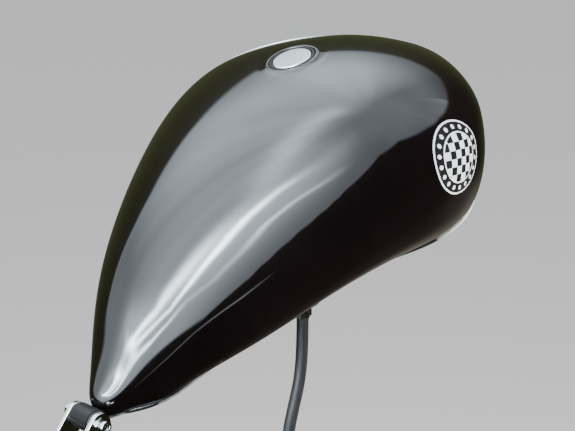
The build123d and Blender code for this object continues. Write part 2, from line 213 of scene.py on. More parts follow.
class Nodes:
    """A tree of shader nodes, with short calls for those that come back most."""

    def __init__(self, tree):
        self.tree = tree

    def add(self, kind, feeds=None, **settings):
        """Adds a node with its settings, and gives each named input a value or a link."""
        made = self.tree.nodes.new(kind)
        for name, value in settings.items():
            setattr(made, name, value)
        for name, value in (feeds or {}).items():
            if isinstance(value, bpy.types.NodeSocket):
                self.tree.links.new(value, made.inputs[name])
            else:
                made.inputs[name].default_value = value
        return made

    def math(self, kind, *values):
        """One step of arithmetic with numbers."""
        return self.add("ShaderNodeMath", dict(enumerate(values)), operation=kind).outputs[0]

    def vector_math(self, kind, *values):
        """One step of arithmetic with vectors: its outputs are a vector and a number."""
        return self.add("ShaderNodeVectorMath", dict(enumerate(values)), operation=kind).outputs

    def noise(self, scale, detail=3.0, vector=None):
        """Soft cloudy values from 0 to 1, finer as the scale grows and rougher as the detail grows."""
        feeds = {"Vector": vector or self.vector, "Scale": scale, "Detail": detail}
        return self.add("ShaderNodeTexNoise", feeds).outputs[0]

    def span(self, value, low, high, to_low=0.0, to_high=1.0):
        """Runs evenly from to_low to to_high as the value goes from low to high, and stays level beyond."""
        feeds = {"Value": value, "From Min": low, "From Max": high, "To Min": to_low, "To Max": to_high}
        return self.add("ShaderNodeMapRange", feeds).outputs[0]

    def mix(self, share, first, second):
        """A colour that goes from the first at share 0 to the second at share 1."""
        return self.add("ShaderNodeMix", {0: share, 6: first, 7: second}, data_type="RGBA").outputs[2]


class Effect(Nodes):
    """A shared effect: a node group that takes a vector and numbers, and puts out numbers."""

    def __init__(self, name, numbers, outputs):
        super().__init__(bpy.data.node_groups.new(name, "ShaderNodeTree"))
        sockets = self.tree.interface
        sockets.new_socket(name="Vector", in_out="INPUT", socket_type="NodeSocketVector")
        for label in numbers:
            sockets.new_socket(name=label, in_out="INPUT", socket_type="NodeSocketFloat")
        for label in outputs:
            sockets.new_socket(name=label, in_out="OUTPUT", socket_type="NodeSocketFloat")
        self.given = self.tree.nodes.new("NodeGroupInput").outputs
        self.result = self.tree.nodes.new("NodeGroupOutput").inputs
        self.vector = self.given["Vector"]

    def give(self, label, value):
        """Puts a value out of the group."""
        self.tree.links.new(value, self.result[label])


def polish_swirls():
    """Hairline polishing marks, where either of two very stretched noises is high, and a cloudy haze."""
    made = Effect("polish_swirls", ["Scale"], ["Marks", "Haze"])
    strokes = []
    for turn, stretch in (((0.3, 0.9, 0.4), (40, 900, 900)), ((1.1, -0.5, 1.9), (900, 50, 900))):
        spot = made.add("ShaderNodeMapping", {"Vector": made.vector, "Rotation": turn, "Scale": stretch})
        strokes.append(made.noise(made.given["Scale"], 2.0, spot.outputs[0]))
    made.give("Marks", made.span(made.math("MAXIMUM", *strokes), 0.62, 0.74))
    made.give("Haze", made.span(made.noise(11.0, 4.0), 0.35, 0.7))
    return made.tree


def settled_dust():
    """Dust: fine specks in drifts, heavier where the surface faces up."""
    made = Effect("settled_dust", ["Amount", "Specks"], ["Mask"])
    normal = made.add("ShaderNodeNewGeometry").outputs["Normal"]
    facing_up = made.add("ShaderNodeSeparateXYZ", {"Vector": normal}).outputs["Z"]
    specks = made.span(made.noise(made.given["Specks"]), 0.52, 0.75)
    drifts = made.span(made.noise(14.0), 0.35, 0.75)
    lying = made.math("MULTIPLY", made.math("MULTIPLY", specks, drifts), made.span(facing_up, -0.2, 1.0, 0.15))
    made.give("Mask", made.math("MULTIPLY", lying, made.given["Amount"]))
    return made.tree


SWIRLS = polish_swirls()
DUST = settled_dust()
DUST_TONE = (0.32, 0.29, 0.25, 1.0)


class Finish(Nodes):
    """A material with its Principled BSDF, object coordinates and the shared effects close at hand."""

    def __init__(self, name, colour, roughness, metallic=0.0, **constants):
        self.material = bpy.data.materials.new(name)
        self.material.use_nodes = True
        super().__init__(self.material.node_tree)
        self.vector = self.add("ShaderNodeTexCoord").outputs["Object"]
        self.shader = self.tree.nodes["Principled BSDF"].inputs
        self.colour = (*colour, 1.0)
        constants.update(Base_Color=self.colour, Roughness=roughness, Metallic=metallic)
        for label, value in constants.items():
            self.shader[label.replace("_", " ")].default_value = value

    def shade(self, factor):
        """The finish's own colour, made darker or lighter."""
        return (*(part * factor for part in self.colour[:3]), 1.0)

    def feed(self, label, value):
        """Leads a value to one of the shader's own sockets."""
        self.tree.links.new(value, self.shader[label])

    def grouped(self, effect, **feeds):
        """The outputs of a shared effect, which reads the object's coordinates."""
        return self.add("ShaderNodeGroup", {"Vector": self.vector, **feeds}, node_tree=effect).outputs

    def bump(self, height, strength, distance):
        """Tilts the shading as a surface would that stands out by this height."""
        feeds = {"Height": height, "Strength": strength, "Distance": distance}
        self.feed("Normal", self.add("ShaderNodeBump", feeds).outputs[0])

    def dust(self, under, amount, specks=900.0):
        """The base colour: the colour beneath, with dust on it."""
        mask = self.grouped(DUST, Amount=amount, Specks=specks)["Mask"]
        self.feed("Base Color", self.mix(mask, under, DUST_TONE))


def paint(name, colour, roughness, dust, peel, coat=1.0, coat_ior=1.5, sheen=0.25):
    """Gloss paint: dark base under a clear coat, faint swirls and haze in the base, dust on what faces up."""
    coating = {"Coat_Weight": coat, "Coat_Roughness": 0.012, "Coat_IOR": coat_ior}
    made = Finish(name, colour, roughness, Specular_IOR_Level=sheen, **coating)
    swirls = made.grouped(SWIRLS, Scale=1.0)
    made.dust(made.mix(swirls["Haze"], made.colour, made.shade(1.7)), dust)
    made.feed("Roughness", made.math("MULTIPLY_ADD", swirls["Marks"], 0.12, roughness))
    made.bump(made.noise(420.0, 2.0), peel, 0.0004)
    return made.material


def worn_and_highlit_paint(name, colour, bare_and_highlight):
    """Gloss paint with a bright edge where the mesh's layer of wear and painted highlight is high, in patches: partly
    paint rubbed through, partly a painted highlight along the edge.
    """
    coating = {"Coat_Weight": 1.0, "Coat_Roughness": 0.03, "Coat_IOR": 1.5}
    made = Finish(name, colour, 0.28, Specular_IOR_Level=0.06, **coating)
    wear = made.add("ShaderNodeAttribute", attribute_name="edge_wear_and_highlight").outputs["Fac"]
    # Bright edge colour: partly worn paint, partly a painted highlight
    rubbed_and_highlit = made.math("MULTIPLY", wear, made.span(made.noise(90.0, 4.0), 0.3, 0.6, 0.55, 1.0))
    made.dust(made.mix(rubbed_and_highlit, made.colour, bare_and_highlight), 0.03)
    made.feed("Roughness", made.span(rubbed_and_highlit, 0.0, 1.0, 0.28, 0.42))
    made.bump(made.noise(420.0, 2.0), 0.03, 0.0003)
    return made.material


def bare_metal(name, colour, low_rough, high_rough, cloud=55.0, grain=900.0, strength=0.04, dust=0.05):
    """Metal: smudges move the roughness between two values, and a fine grain breaks its surface."""
    made = Finish(name, colour, low_rough, 1.0)
    made.feed("Roughness", made.span(made.noise(cloud, 4.0), 0.35, 0.7, low_rough, high_rough))
    tarnish = made.span(made.noise(cloud * 2, 5.0), 0.45, 0.8)
    made.dust(made.mix(tarnish, made.colour, made.shade(0.78)), dust)
    made.bump(made.noise(grain, 3.0), strength, 0.0002)
    return made.material


def rubber(name, colour, roughness, dust=0.3):
    """Moulded rubber: matte, with a fine pimpled grain and a little grey bloom."""
    made = Finish(name, colour, roughness)
    bloom = made.span(made.noise(60.0, 4.0), 0.4, 0.75)
    made.dust(made.mix(bloom, made.colour, made.shade(2.2)), dust)
    made.feed("Roughness", made.span(made.noise(150.0), 0.3, 0.7, roughness - 0.1, roughness + 0.1))
    made.bump(made.noise(1600.0, 2.0), 0.25, 0.0002)
    return made.material


def turned_aluminium(name, colour, origin):
    """Polished aluminium with fine rings round the cap's axis: a noise read from the distance to that axis, and a
    painted highlight: a brighter colour on the rim's bevel.
    """
    made = Finish(name, colour, 0.16, 1.0, Anisotropic=0.4)
    centred = made.vector_math("SUBTRACT", made.vector, tuple(origin * MM))[0]
    along = made.vector_math("DOT_PRODUCT", centred, tuple(UP))["Value"]
    reach = made.vector_math("LENGTH", centred)["Value"]
    squared = made.math("SUBTRACT", made.math("POWER", reach, 2.0), made.math("MULTIPLY", along, along))
    radius = made.math("SQRT", squared)
    ring_feeds = {"W": radius, "Scale": 5200.0, "Detail": 3.0}
    rings = made.add("ShaderNodeTexNoise", ring_feeds, noise_dimensions="1D").outputs[0]
    made.feed("Roughness", made.span(made.noise(70.0, 4.0), 0.35, 0.75, 0.12, 0.26))
    face = made.mix(rings, made.shade(0.93), made.colour)
    # Painted highlight: a bright ring of colour over the disc's rim bevel
    painted_rim_highlight = made.span(radius, 0.0203, 0.0209)
    made.dust(made.mix(painted_rim_highlight, face, (0.90, 0.91, 0.91, 1.0)), 0.06)
    made.bump(rings, 0.12, 0.0001)
    return made.material


def braided_cover(name):
    """Hose cover with painted shade: darker in the gaps and greyer on the strands, read from the braid's own height on
    the mesh.
    """
    made = Finish(name, (0.012, 0.012, 0.014), 0.5)
    relief = made.add("ShaderNodeAttribute", attribute_name="braid_height").outputs["Fac"]
    # Painted shade: dark colour in the braid's gaps, lighter on the strands' crowns
    painted_braid_shading = made.mix(made.span(relief, 0.2, 1.0), (0.004, 0.004, 0.005, 1.0), (0.030, 0.032, 0.036, 1.0))
    made.dust(painted_braid_shading, 0.3, 1200.0)
    made.feed("Roughness", made.span(made.noise(300.0), 0.3, 0.7, 0.38, 0.6))
    made.bump(made.noise(2600.0, 2.0), 0.3, 0.0001)
    return made.material


# The roundel's pattern: its radii are shares of the roundel's own
WHITE_ENAMEL = (0.74, 0.76, 0.78, 1.0)
BLACK_ENAMEL = (0.010, 0.010, 0.012, 1.0)
ROUNDEL_SQUARES = 4.6
ROUNDEL_FIELD = 0.66
ROUNDEL_LINE = 0.70
ROUNDEL_BAND = 0.955
ROUNDEL_PIPS = 18
PIP_RING = 0.828
PIP_SIZE = 0.062


def chequered_enamel(name):
    """Roundel on its own plan map: chequered field, white line, black band with a ring of white pips, white rim."""
    made = Finish(name, WHITE_ENAMEL[:3], 0.3, Coat_Weight=0.6, Coat_Roughness=0.02, Coat_IOR=1.4)
    math = made.math
    plan = made.add("ShaderNodeUVMap", uv_map="plan").outputs[0]
    split = made.add("ShaderNodeSeparateXYZ", {"Vector": plan}).outputs
    reach = made.vector_math("LENGTH", plan)["Value"]
    turn = math("MULTIPLY", math("ARCTAN2", split["Y"], split["X"]), ROUNDEL_PIPS / (2 * pi))
    along = math("MULTIPLY", math("SUBTRACT", math("FRACT", turn), 0.5), 2 * pi * PIP_RING / ROUNDEL_PIPS)
    out = math("SUBTRACT", reach, PIP_RING)
    from_pip = math("SQRT", math("ADD", math("MULTIPLY", along, along), math("MULTIPLY", out, out)))
    band = made.mix(math("LESS_THAN", from_pip, PIP_SIZE), BLACK_ENAMEL, WHITE_ENAMEL)
    squares = {"Vector": plan, "Scale": ROUNDEL_SQUARES, "Color1": WHITE_ENAMEL, "Color2": BLACK_ENAMEL}
    pattern = made.add("ShaderNodeTexChecker", squares).outputs[0]
    for radius, beyond in ((ROUNDEL_FIELD, WHITE_ENAMEL), (ROUNDEL_LINE, band), (ROUNDEL_BAND, WHITE_ENAMEL)):
        pattern = made.mix(math("GREATER_THAN", reach, radius), pattern, beyond)
    made.dust(pattern, 0.08)
    made.bump(made.noise(500.0, 2.0), 0.03, 0.0002)
    return made.material


# Finishes of the pieces, each with the record's slot that it belongs to
filler_origin = row_point(CAP_X, 0, CAP_Z)
GLOSS = paint("gloss_black", (0.0030, 0.0016, 0.0021), 0.28, 0.012, 0.02, 1.0, 1.62, 0.04), "gloss_black"
# Lip paint: its bright outer edge is partly wear and partly a painted highlight
LIP_PAINT = worn_and_highlit_paint("lip_black", (0.0030, 0.0022, 0.0024), (0.86, 0.85, 0.82, 1.0)), "gloss_black"
ENAMEL = chequered_enamel("chequered_enamel"), "gloss_black"
PAN = paint("pan_black", (0.010, 0.010, 0.011), 0.38, 0.22, 0.12, 0.6), "pan_black"
SATIN = paint("satin_black", (0.010, 0.010, 0.011), 0.42, 0.08, 0.10, 0.12, 1.5, 0.12), "satin_black"
CHROME = bare_metal("bright_chrome", (0.80, 0.81, 0.82), 0.03, 0.10, grain=1400.0, strength=0.015), "chrome"
ZINC = bare_metal("zinc_steel", (0.55, 0.55, 0.56), 0.26, 0.42, 90.0, 1100.0, 0.12, 0.1), "steel"
TANK_INSIDE = bare_metal("bare_inside", (0.20, 0.19, 0.18), 0.42, 0.6, 60.0, 700.0, 0.2, 0.0), "steel"
BRASS = bare_metal("turned_brass", (0.70, 0.50, 0.22), 0.2, 0.36, 80.0, 1200.0, 0.08, 0.08), "brass"
POLISHED = turned_aluminium("polished_aluminium", (0.60, 0.65, 0.65), filler_origin), "polished"
RUBBER = rubber("moulded_rubber", (0.018, 0.018, 0.018), 0.62), "rubber"
HOSE = braided_cover("braided_hose"), "hose"

# Forms that several pieces share
AROUND = 96
CORNER_SHARE = 0.42
CORNER_HOLD = 1.35
EDGE_STEPS = np.array([(1.6, 0), (1, 0), (0.3, 0.3), (0, 1), (0, 1.6)])


def grid_faces(rows, columns, wrap_rows, wrap_columns, first=0):
    """Four-sided faces over a grid of points, with the last row or column joined to the first where it wraps."""
    i = np.arange(rows if wrap_rows else rows - 1)[:, None]
    j = np.arange(columns if wrap_columns else columns - 1)
    after_i = (i + 1) % rows
    after_j = (j + 1) % columns
    corners = [i * columns + j, after_i * columns + j, after_i * columns + after_j, i * columns + after_j]
    return np.stack(corners, -1).reshape(-1, 4) + first


def piece(name, grids, look, *stands_for, body="tank", sharp=50, drop=None):
    """One object from grids of points in metres: (points, wrap rows, wrap columns). Doubles at poles are merged."""
    points, faces, first = [], [], 0
    for grid, wrap_rows, wrap_columns in grids:
        points.append(grid.reshape(-1, 3))
        faces.append(grid_faces(*grid.shape[:2], wrap_rows, wrap_columns, first))
        first += grid.shape[0] * grid.shape[1]
    points, faces = np.concatenate(points), np.concatenate(faces)
    if drop is not None:
        faces = faces[~drop(points, faces)]
    mesh = bpy.data.meshes.new(name)
    mesh.from_pydata(points, [], faces)
    work = bmesh.new()
    work.from_mesh(mesh)
    bmesh.ops.remove_doubles(work, verts=work.verts, dist=2e-6)
    loose = [v for v in work.verts if not v.link_faces]
    bmesh.ops.delete(work, geom=loose, context="VERTS")
    bmesh.ops.recalc_face_normals(work, faces=work.faces)
    work.to_mesh(mesh)
    work.free()
    mesh.shade_smooth()
    mesh.set_sharp_from_angle(angle=radians(sharp))
    material, slot = look
    mesh.materials.append(material)
    made = add_object(name, mesh)
    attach(made, body)
    if stands_for:
        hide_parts(*stands_for)
    return made


def set_layer(made, name, values):
    """Gives every point of a piece its number, which a material reads by the layer's name."""
    layer = made.data.attributes.new(name, "FLOAT", "POINT")
    layer.data.foreach_set("value", values.ravel().astype(np.float32))


def rounded(profile, radius, closed, steps=4):
    """A profile with each corner cut back by a short curve: a quadratic from one side, over the corner, to the other.

    A point a little before and one a little after each curve hold the flats straight.
    """
    line = np.asarray(profile, float)
    to_before, to_after = np.roll(line, 1, 0) - line, np.roll(line, -1, 0) - line
    cut = CORNER_SHARE * np.minimum(np.linalg.norm(to_before, axis=1), np.linalg.norm(to_after, axis=1))
    cut = np.minimum(cut, radius)[:, None]
    before, after = unit(to_before) * cut, unit(to_after) * cut
    t = np.linspace(0, 1, steps)[:, None, None]
    curve = (1 - t) ** 2 * (line + before) + 2 * t * (1 - t) * line + t**2 * (line + after)
    held = np.concatenate([(line + before * CORNER_HOLD)[None], curve, (line + after * CORNER_HOLD)[None]])
    whole = held.transpose(1, 0, 2)
    if closed:
        return whole.reshape(-1, 2)
    return np.concatenate([line[:1], whole[1:-1].reshape(-1, 2), line[-1:]])


def stacked(rings):
    """Points of a stack of flat outlines, each given with its height."""
    return np.stack([np.column_stack([curve, np.full(len(curve), height)]) for curve, height in rings])


def turned(profile, origin, axis, across, radius=0.5, closed=False, around=AROUND):
    """A turned form: every point of the profile (radius, height) goes round the axis in a circle."""
    rim = spokes(full_turn(around))
    rings = [(reach * rim, height) for reach, height in rounded(profile, radius, closed)]
    return place(stacked(rings), origin, across, np.cross(axis, across), axis), closed, True


def hull(circles):
    """Outline round several circles, by the direction it faces: the circle that reaches furthest that way."""
    facing = spokes(full_turn(AROUND))
    spec = np.asarray(circles, float)
    reach = facing @ spec[:, :2].T + spec[:, 2]
    best = reach.argmax(1)
    return spec[best, :2] + facing * spec[best, 2:], facing


def hexagon(flats, corner):
    """Six corner circles, for a hexagon with this distance across its flats."""
    reach = (flats / 2 - corner) / cos(pi / 6)
    return [(reach * cos(k * pi / 3), reach * sin(k * pi / 3), corner) for k in range(6)]


def rectangle(half_x, half_y, corner):
    """Four corner circles."""
    return [(x, y, corner) for x in (-half_x, half_x) for y in (-half_y, half_y)]


def wall(outline, low, high, edge, inward=1):
    """Rings up a wall with softened edges, which lean in over both faces, or out round a hole."""
    out, way = hull(outline)
    steps = EDGE_STEPS * edge
    rings = [(out - inward * way * inset, low + drop) for inset, drop in steps]
    return rings + [(out - inward * way * inset, high - drop) for inset, drop in steps[::-1]]


def plate(outer, inner, low, high, origin, axis_x, axis_y, edge):
    """A plate between an outer and an inner outline: up the outer wall, over the top, down the inner one and back."""
    rings = wall(outer, low, high, edge) + wall(inner, low, high, edge, -1)[::-1]
    return place(stacked(rings), origin, axis_x, axis_y, np.cross(axis_x, axis_y)), True, True


def slab(outline, low, high, origin, axis_x, axis_y, edge):
    """A plate with no hole, closed at its middle on both faces."""
    middle = np.broadcast_to(hull(outline)[0].mean(0), (AROUND, 2))
    rings = [(middle, low), *wall(outline, low, high, edge), (middle, high)]
    return place(stacked(rings), origin, axis_x, axis_y, np.cross(axis_x, axis_y)), False, True


# Tank skin


def natural_spline(knots, values, at):
    """Natural cubic spline: cubics that meet with equal slope and bend at each knot, straight at both ends."""
    count = len(knots)
    flat = values.reshape(count, -1)
    step = np.diff(knots)
    slope = np.diff(flat, axis=0) / step[:, None]
    inner = np.arange(1, count - 1)
    system = np.eye(count)
    system[inner, inner - 1] = step[:-1]
    system[inner, inner] = 2 * (step[:-1] + step[1:])
    system[inner, inner + 1] = step[1:]
    right = np.zeros_like(flat)
    right[inner] = 6 * np.diff(slope, axis=0)
    bend = np.linalg.solve(system, right)
    k = np.clip(np.searchsorted(knots, at, side="right") - 1, 0, count - 2)
    done, left, width = (at - knots[k])[:, None], (knots[k + 1] - at)[:, None], step[k][:, None]
    curve = (bend[k] * left**3 + bend[k + 1] * done**3) / (6 * width)
    from_before = (flat[k] / width - bend[k] * width / 6) * left
    from_after = (flat[k + 1] / width - bend[k + 1] * width / 6) * done
    return (curve + (from_before + from_after)).reshape(len(at), *values.shape[1:])


def section_line(station, crown, half, wide_at, seam, seam_half):
    """Right seam to left seam: an arc out to the widest point, half an ellipse over the top, an arc back in."""
    tuck, drop = half - seam_half, wide_at - (seam - SEAM_SINK)
    radius = (tuck * tuck + drop * drop) / (2 * tuck)
    turn = np.arctan2(drop, radius - tuck)
    bend = np.linspace(turn, 0, FLANK_STEPS, endpoint=False)
    arc = np.column_stack([half - radius + radius * np.cos(bend), wide_at - radius * np.sin(bend)])
    over = np.linspace(0, pi, CROWN_STEPS)
    top = np.column_stack([half * np.cos(over), wide_at + (crown - wide_at) * np.sin(over)])
    outline = np.concatenate([arc, top, (arc * [-1, 1])[::-1]])
    outline[:, 0] *= -1
    return np.column_stack([np.full(len(outline), float(station)), outline])


def skin_grid():
    """The skin through every section, closed at a pole at each end, beyond which the sections are mirrored."""
    lines = np.stack([section_line(*row) for row in SECTIONS])
    tail, nose = (np.broadcast_to([x, 0, z], lines[0].shape) for x, z in (TAIL_POLE, NOSE_POLE))
    rows = np.stack([2 * tail - lines[0], tail, *lines, nose, 2 * nose - lines[-1]])
    rows[0, :, 0], rows[-1, :, 0] = lines[0, :, 0], lines[-1, :, 0]
    key = np.array([[row[0, 0], np.ptp(row[:, 1]) / 2, row[:, 2].max()] for row in rows])
    key[[0, -1], 1] *= -1
    key[0, 2], key[-1, 2] = 2 * TAIL_POLE[1] - key[2, 2], 2 * NOSE_POLE[1] - key[-3, 2]
    knots = np.concatenate([[0], np.cumsum(np.linalg.norm(np.diff(key, axis=0), axis=1) ** 0.9)])
    low, high = knots[1], knots[-2]
    return natural_spline(knots, rows, low + (high - low) * np.linspace(0, 1, STATION_STEPS))


skin = skin_grid()
skin_station = skin[:, 0, 0]

# Where the skin counts as near the filler: this far below the crown, and this near the hole's rim
NEAR_CROWN = 40
RIM_REACH = 2.4


def in_filler_hole(points, faces):
    """True for faces with every corner inside the filler hole, on the upper side."""
    local = points[faces] / MM - filler_origin
    inside = np.hypot(local @ FORE, local @ LEFT) < SKIN_HOLE_R
    return (inside & (local @ UP > -NEAR_CROWN)).all(-1)


def open_filler_hole(grid):
    """Moves points that lie just inside the filler hole's rim out to it, so that its edge is round."""
    along, across = grid[..., 0] - CAP_X, grid[..., 1]
    reach = np.hypot(along, across)
    rim = (reach > SKIN_HOLE_R - RIM_REACH) & (reach < SKIN_HOLE_R) & (grid[..., 2] > CAP_Z - NEAR_CROWN)
    scale = np.where(rim, (SKIN_HOLE_R + 0.01) / np.maximum(reach, 1e-6), 1.0)
    moved = grid.copy()
    moved[..., 0] = CAP_X + along * scale
    moved[..., 1] = across * scale
    return moved


def skin_height(x, y):
    """Height of the crown over a point: the half ellipse of the section at that station."""
    crown = np.interp(x, skin_station, skin[..., 2].max(1))
    wide_at = np.interp(x, skin_station, skin[:, FLANK_STEPS, 2])
    half = np.interp(x, skin_station, np.abs(skin[:, FLANK_STEPS, 1]))
    return wide_at + (crown - wide_at) * np.sqrt(np.clip(1 - (y / half) ** 2, 0, 1))


shell = piece(
    "painted_shell", [(place(open_filler_hole(skin)), False, False)], GLOSS, "tank_shell",
    sharp=80, drop=in_filler_hole,
)
sheet = shell.modifiers.new("sheet", "SOLIDIFY")
sheet.thickness = SKIN_THICK * MM
sheet.offset = -1.0
well_top = -NECK_DEEP + 0.2
well_outer = THROAT_R + WELL_SHEET
well_low = -WELL_DEEP - WELL_SHEET
piece("filler_well", [turned(
    [(0, -WELL_DEEP), (THROAT_R, -WELL_DEEP), (THROAT_R, well_top), (well_outer, well_top), (well_outer, well_low),
     (0, well_low)],
    filler_origin, UP, FORE,
)], TANK_INSIDE)

# Flare that carries the skin up to the filler neck: the lift fades from the neck to the flare's edge
FLARE_R = 41.0
FLARE_THICK = 1.4
FLARE_FADE = 2.6
FLARE_BELOW_RIM = 0.5
flare_reach = np.concatenate([np.linspace(NECK_R - 1.2, NECK_R + 0.2, 3), np.linspace(NECK_R + 0.8, FLARE_R, 22)])
flare_spokes = spokes(full_turn(180))
flare_x = CAP_X + flare_reach[:, None] * flare_spokes[:, 0]
flare_y = flare_reach[:, None] * flare_spokes[:, 1]
flare_skin = skin_height(flare_x, flare_y)
flare_share = np.clip((FLARE_R - flare_reach) / (FLARE_R - NECK_R), 0, 1)[:, None]
flare_lift = (CAP_Z + NECK_PROUD - FLARE_BELOW_RIM - flare_skin) * flare_share**FLARE_FADE
flare_top = np.stack([flare_x, flare_y, flare_skin + flare_lift + 0.02], -1)
flare_loop = np.concatenate([flare_top, (flare_top - [0, 0, FLARE_THICK])[::-1]])
piece("neck_flare", [(place(flare_loop), True, True)], GLOSS, sharp=70)

# Seam lip: the folded edge of skin and pan, round the whole bottom, over a short bridge at the nose.
# It is thicker along the tail and at the nose, and its outer edge has a bright colour at these stations, partly paint
# worn through and partly a painted highlight.
SEAM_ROWS = slice(2, -6)
NOSE_ROWS = slice(-14, None)
LIP_IN = -2.2
LIP_OUT = 2.8
LIP_LOW = -1.8
LIP_HIGH = 1.3
# Strength of the lip's bright edge by station, brighter at the tail and nose: part wear, part painted highlight
LIP_WEAR_AND_HIGHLIGHT_AT = (30, 60, 110, 150, 300, 340, 380, 425)
LIP_WEAR_AND_HIGHLIGHT = (0.1, 0.22, 0.22, 0.1, 0.1, 0.3, 0.45, 1.0)
right_seam, left_seam = skin[SEAM_ROWS, 0], skin[SEAM_ROWS, -1]
share = np.linspace(0, 1, 26)[1:-1, None]
nose_point = np.array([NOSE_POLE[0], 0.0, NOSE_POLE[1]])
bridge = (1 - share) ** 2 * left_seam[-1] + 2 * share * (1 - share) * nose_point + share**2 * right_seam[-1]
lip_path = np.concatenate([left_seam, bridge, right_seam[::-1]])
lip_station = lip_path[:, 0]
lip_way = unit(np.roll(lip_path, -1, 0) - np.roll(lip_path, 1, 0))
side_rise = unit(np.cross(np.gradient(left_seam * [1, 0, 1], axis=0), [0, 1, 0]))
bridge_rise = np.broadcast_to(side_rise[-1], bridge.shape)
lip_rise = np.concatenate([side_rise, bridge_rise, side_rise[::-1]])
lip_out = unit(np.cross(lip_rise, lip_way))
lip_corners = [(LIP_IN, LIP_LOW), (LIP_OUT, LIP_LOW), (LIP_OUT, LIP_HIGH), (LIP_IN, LIP_HIGH)]
lip_profile = rounded(lip_corners, 1.25, True, 6)
at_tail = smooth(lip_station, 36, 50) * (1 - smooth(lip_station, 110, 175))
at_nose = smooth(lip_station, 300, 440)
lip_size = (0.55 + 0.33 * at_tail + 0.45 * at_nose)[:, None, None]
lip_spread = lip_out[:, None] * lip_profile[None, :, :1] + lip_rise[:, None] * lip_profile[None, :, 1:]
lip_grid = lip_path[:, None] + lip_size * lip_spread
lip = piece("seam_lip", [(place(lip_grid), True, True)], LIP_PAINT, sharp=70)
# The bright colour across the lip's outer edge is partly worn paint and partly a painted highlight
outer_wear_and_highlight = smooth(lip_profile[:, 0], 0.4 * LIP_OUT, 0.9 * LIP_OUT)
set_layer(lip, "edge_wear_and_highlight", np.interp(lip_station, LIP_WEAR_AND_HIGHLIGHT_AT, LIP_WEAR_AND_HIGHLIGHT)[:, None] * outer_wear_and_highlight[None])

# Nose plate: the skin's lower edge drawn across between both seams, from behind the bridge to the nose
across_share = np.linspace(0, 1, 14)[None, :, None]
nose_top = skin[NOSE_ROWS, :1] * (1 - across_share) + skin[NOSE_ROWS, -1:] * across_share
nose_loop = np.concatenate([nose_top, nose_top[:, ::-1] + [-1.0, 0, 1.0]], 1)
piece("nose_plate", [(place(nose_loop), False, True)], GLOSS, sharp=70)

# Weld beads: round the bung and the two ears, and along both edges of the tunnel
BEAD_R = 1.5
EDGE_BEAD_R = 1.2
BEAD_AROUND = 12
BEAD_FLAT = 0.75
BEAD_RIPPLE = 0.12
BEAD_PITCH = 1.6
BUNG_BEAD_R = 14.4
EAR_X = 508.5
EAR_Y = 35.5
EAR_HALF_LONG = 20.2
EAR_HALF_THICK = 3.2
TUNNEL_EDGE_X = (76, 536)
TUNNEL_EDGE_Y = 32.4


def bead_on_pan(x, y, radius, closed):
    """A weld bead on the pan's underside: a flattened round that swells and shrinks with every laid drop."""
    pan = np.interp(x, skin_station, skin[:, 0, 2]) + SEAM_SINK - PAN_THICK
    path = row_point(x[:, None], y[:, None], pan[:, None])
    way = unit(np.roll(path, -1, 0) - np.roll(path, 1, 0) if closed else np.gradient(path, axis=0))
    run = run_along(path)
    size = radius * (1 + BEAD_RIPPLE * np.abs(np.sin(pi * run / BEAD_PITCH)) - BEAD_RIPPLE / 2)
    if not closed:
        size *= np.clip(np.minimum(run, run[-1] - run) / radius, 0.02, 1) ** 0.5
    side = unit(np.cross(way, UP))
    rise = np.cross(side, way)
    cosine, sine = spokes(full_turn(BEAD_AROUND)).T[..., None]
    grid = path[:, None] + size[:, None, None] * (side[:, None] * cosine + BEAD_FLAT * rise[:, None] * sine)
    if not closed:
        grid = np.concatenate([path[:1, None].repeat(BEAD_AROUND, 1), grid, path[-1:, None].repeat(BEAD_AROUND, 1)])
    return grid * MM, closed, True


def boxy(part):
    """Its size raised to a low power, with its sign kept, which makes a circle a box with round corners."""
    return np.sign(part) * np.abs(part) ** 0.35


ring_x, ring_y = spokes(full_turn(160)).T
edge_x = np.linspace(*TUNNEL_EDGE_X, 900)
beads = [bead_on_pan(TAP_X + BUNG_BEAD_R * ring_x, TAP_Y + BUNG_BEAD_R * ring_y, BEAD_R, True)]
for ear_y in (-EAR_Y, EAR_Y):
    ear_x = EAR_X + EAR_HALF_LONG * boxy(ring_x)
    beads.append(bead_on_pan(ear_x, ear_y + EAR_HALF_THICK * boxy(ring_y), BEAD_R, True))
for edge_y in (-TUNNEL_EDGE_Y, TUNNEL_EDGE_Y):
    beads.append(bead_on_pan(edge_x, np.full_like(edge_x, edge_y), EDGE_BEAD_R, False))
piece("weld_beads", beads, PAN, sharp=80)

# Roundel on the right flank
ROUNDEL_AT = (389.4, -196.7, 108.9)
ROUNDEL_R = 38.0
ROUNDEL_LIFT = 0.22
ROUNDEL_SINK = 0.25
UP_IN_TANK = np.array([sin(BACKBONE_SLOPE), 0.0, cos(BACKBONE_SLOPE)])
GRID_STEP = 0.5


def on_skin(row, column):
    """A point of the skin between grid points, by linear blends along both directions."""
    row = np.clip(row, 0, skin.shape[0] - 1.001)
    column = np.clip(column, 0, skin.shape[1] - 1.001)
    i, j = row.astype(int), column.astype(int)
    a, b = (row - i)[..., None], (column - j)[..., None]
    near = skin[i, j] * (1 - b) + skin[i, j + 1] * b
    far = skin[i + 1, j] * (1 - b) + skin[i + 1, j + 1] * b
    return near * (1 - a) + far * a


def skin_slopes(row, column):
    """How the skin moves for a step of one grid row and for one of a grid column."""
    by_row = on_skin(row + GRID_STEP, column) - on_skin(row - GRID_STEP, column)
    by_column = on_skin(row, column + GRID_STEP) - on_skin(row, column - GRID_STEP)
    return by_row / (2 * GRID_STEP), by_column / (2 * GRID_STEP)


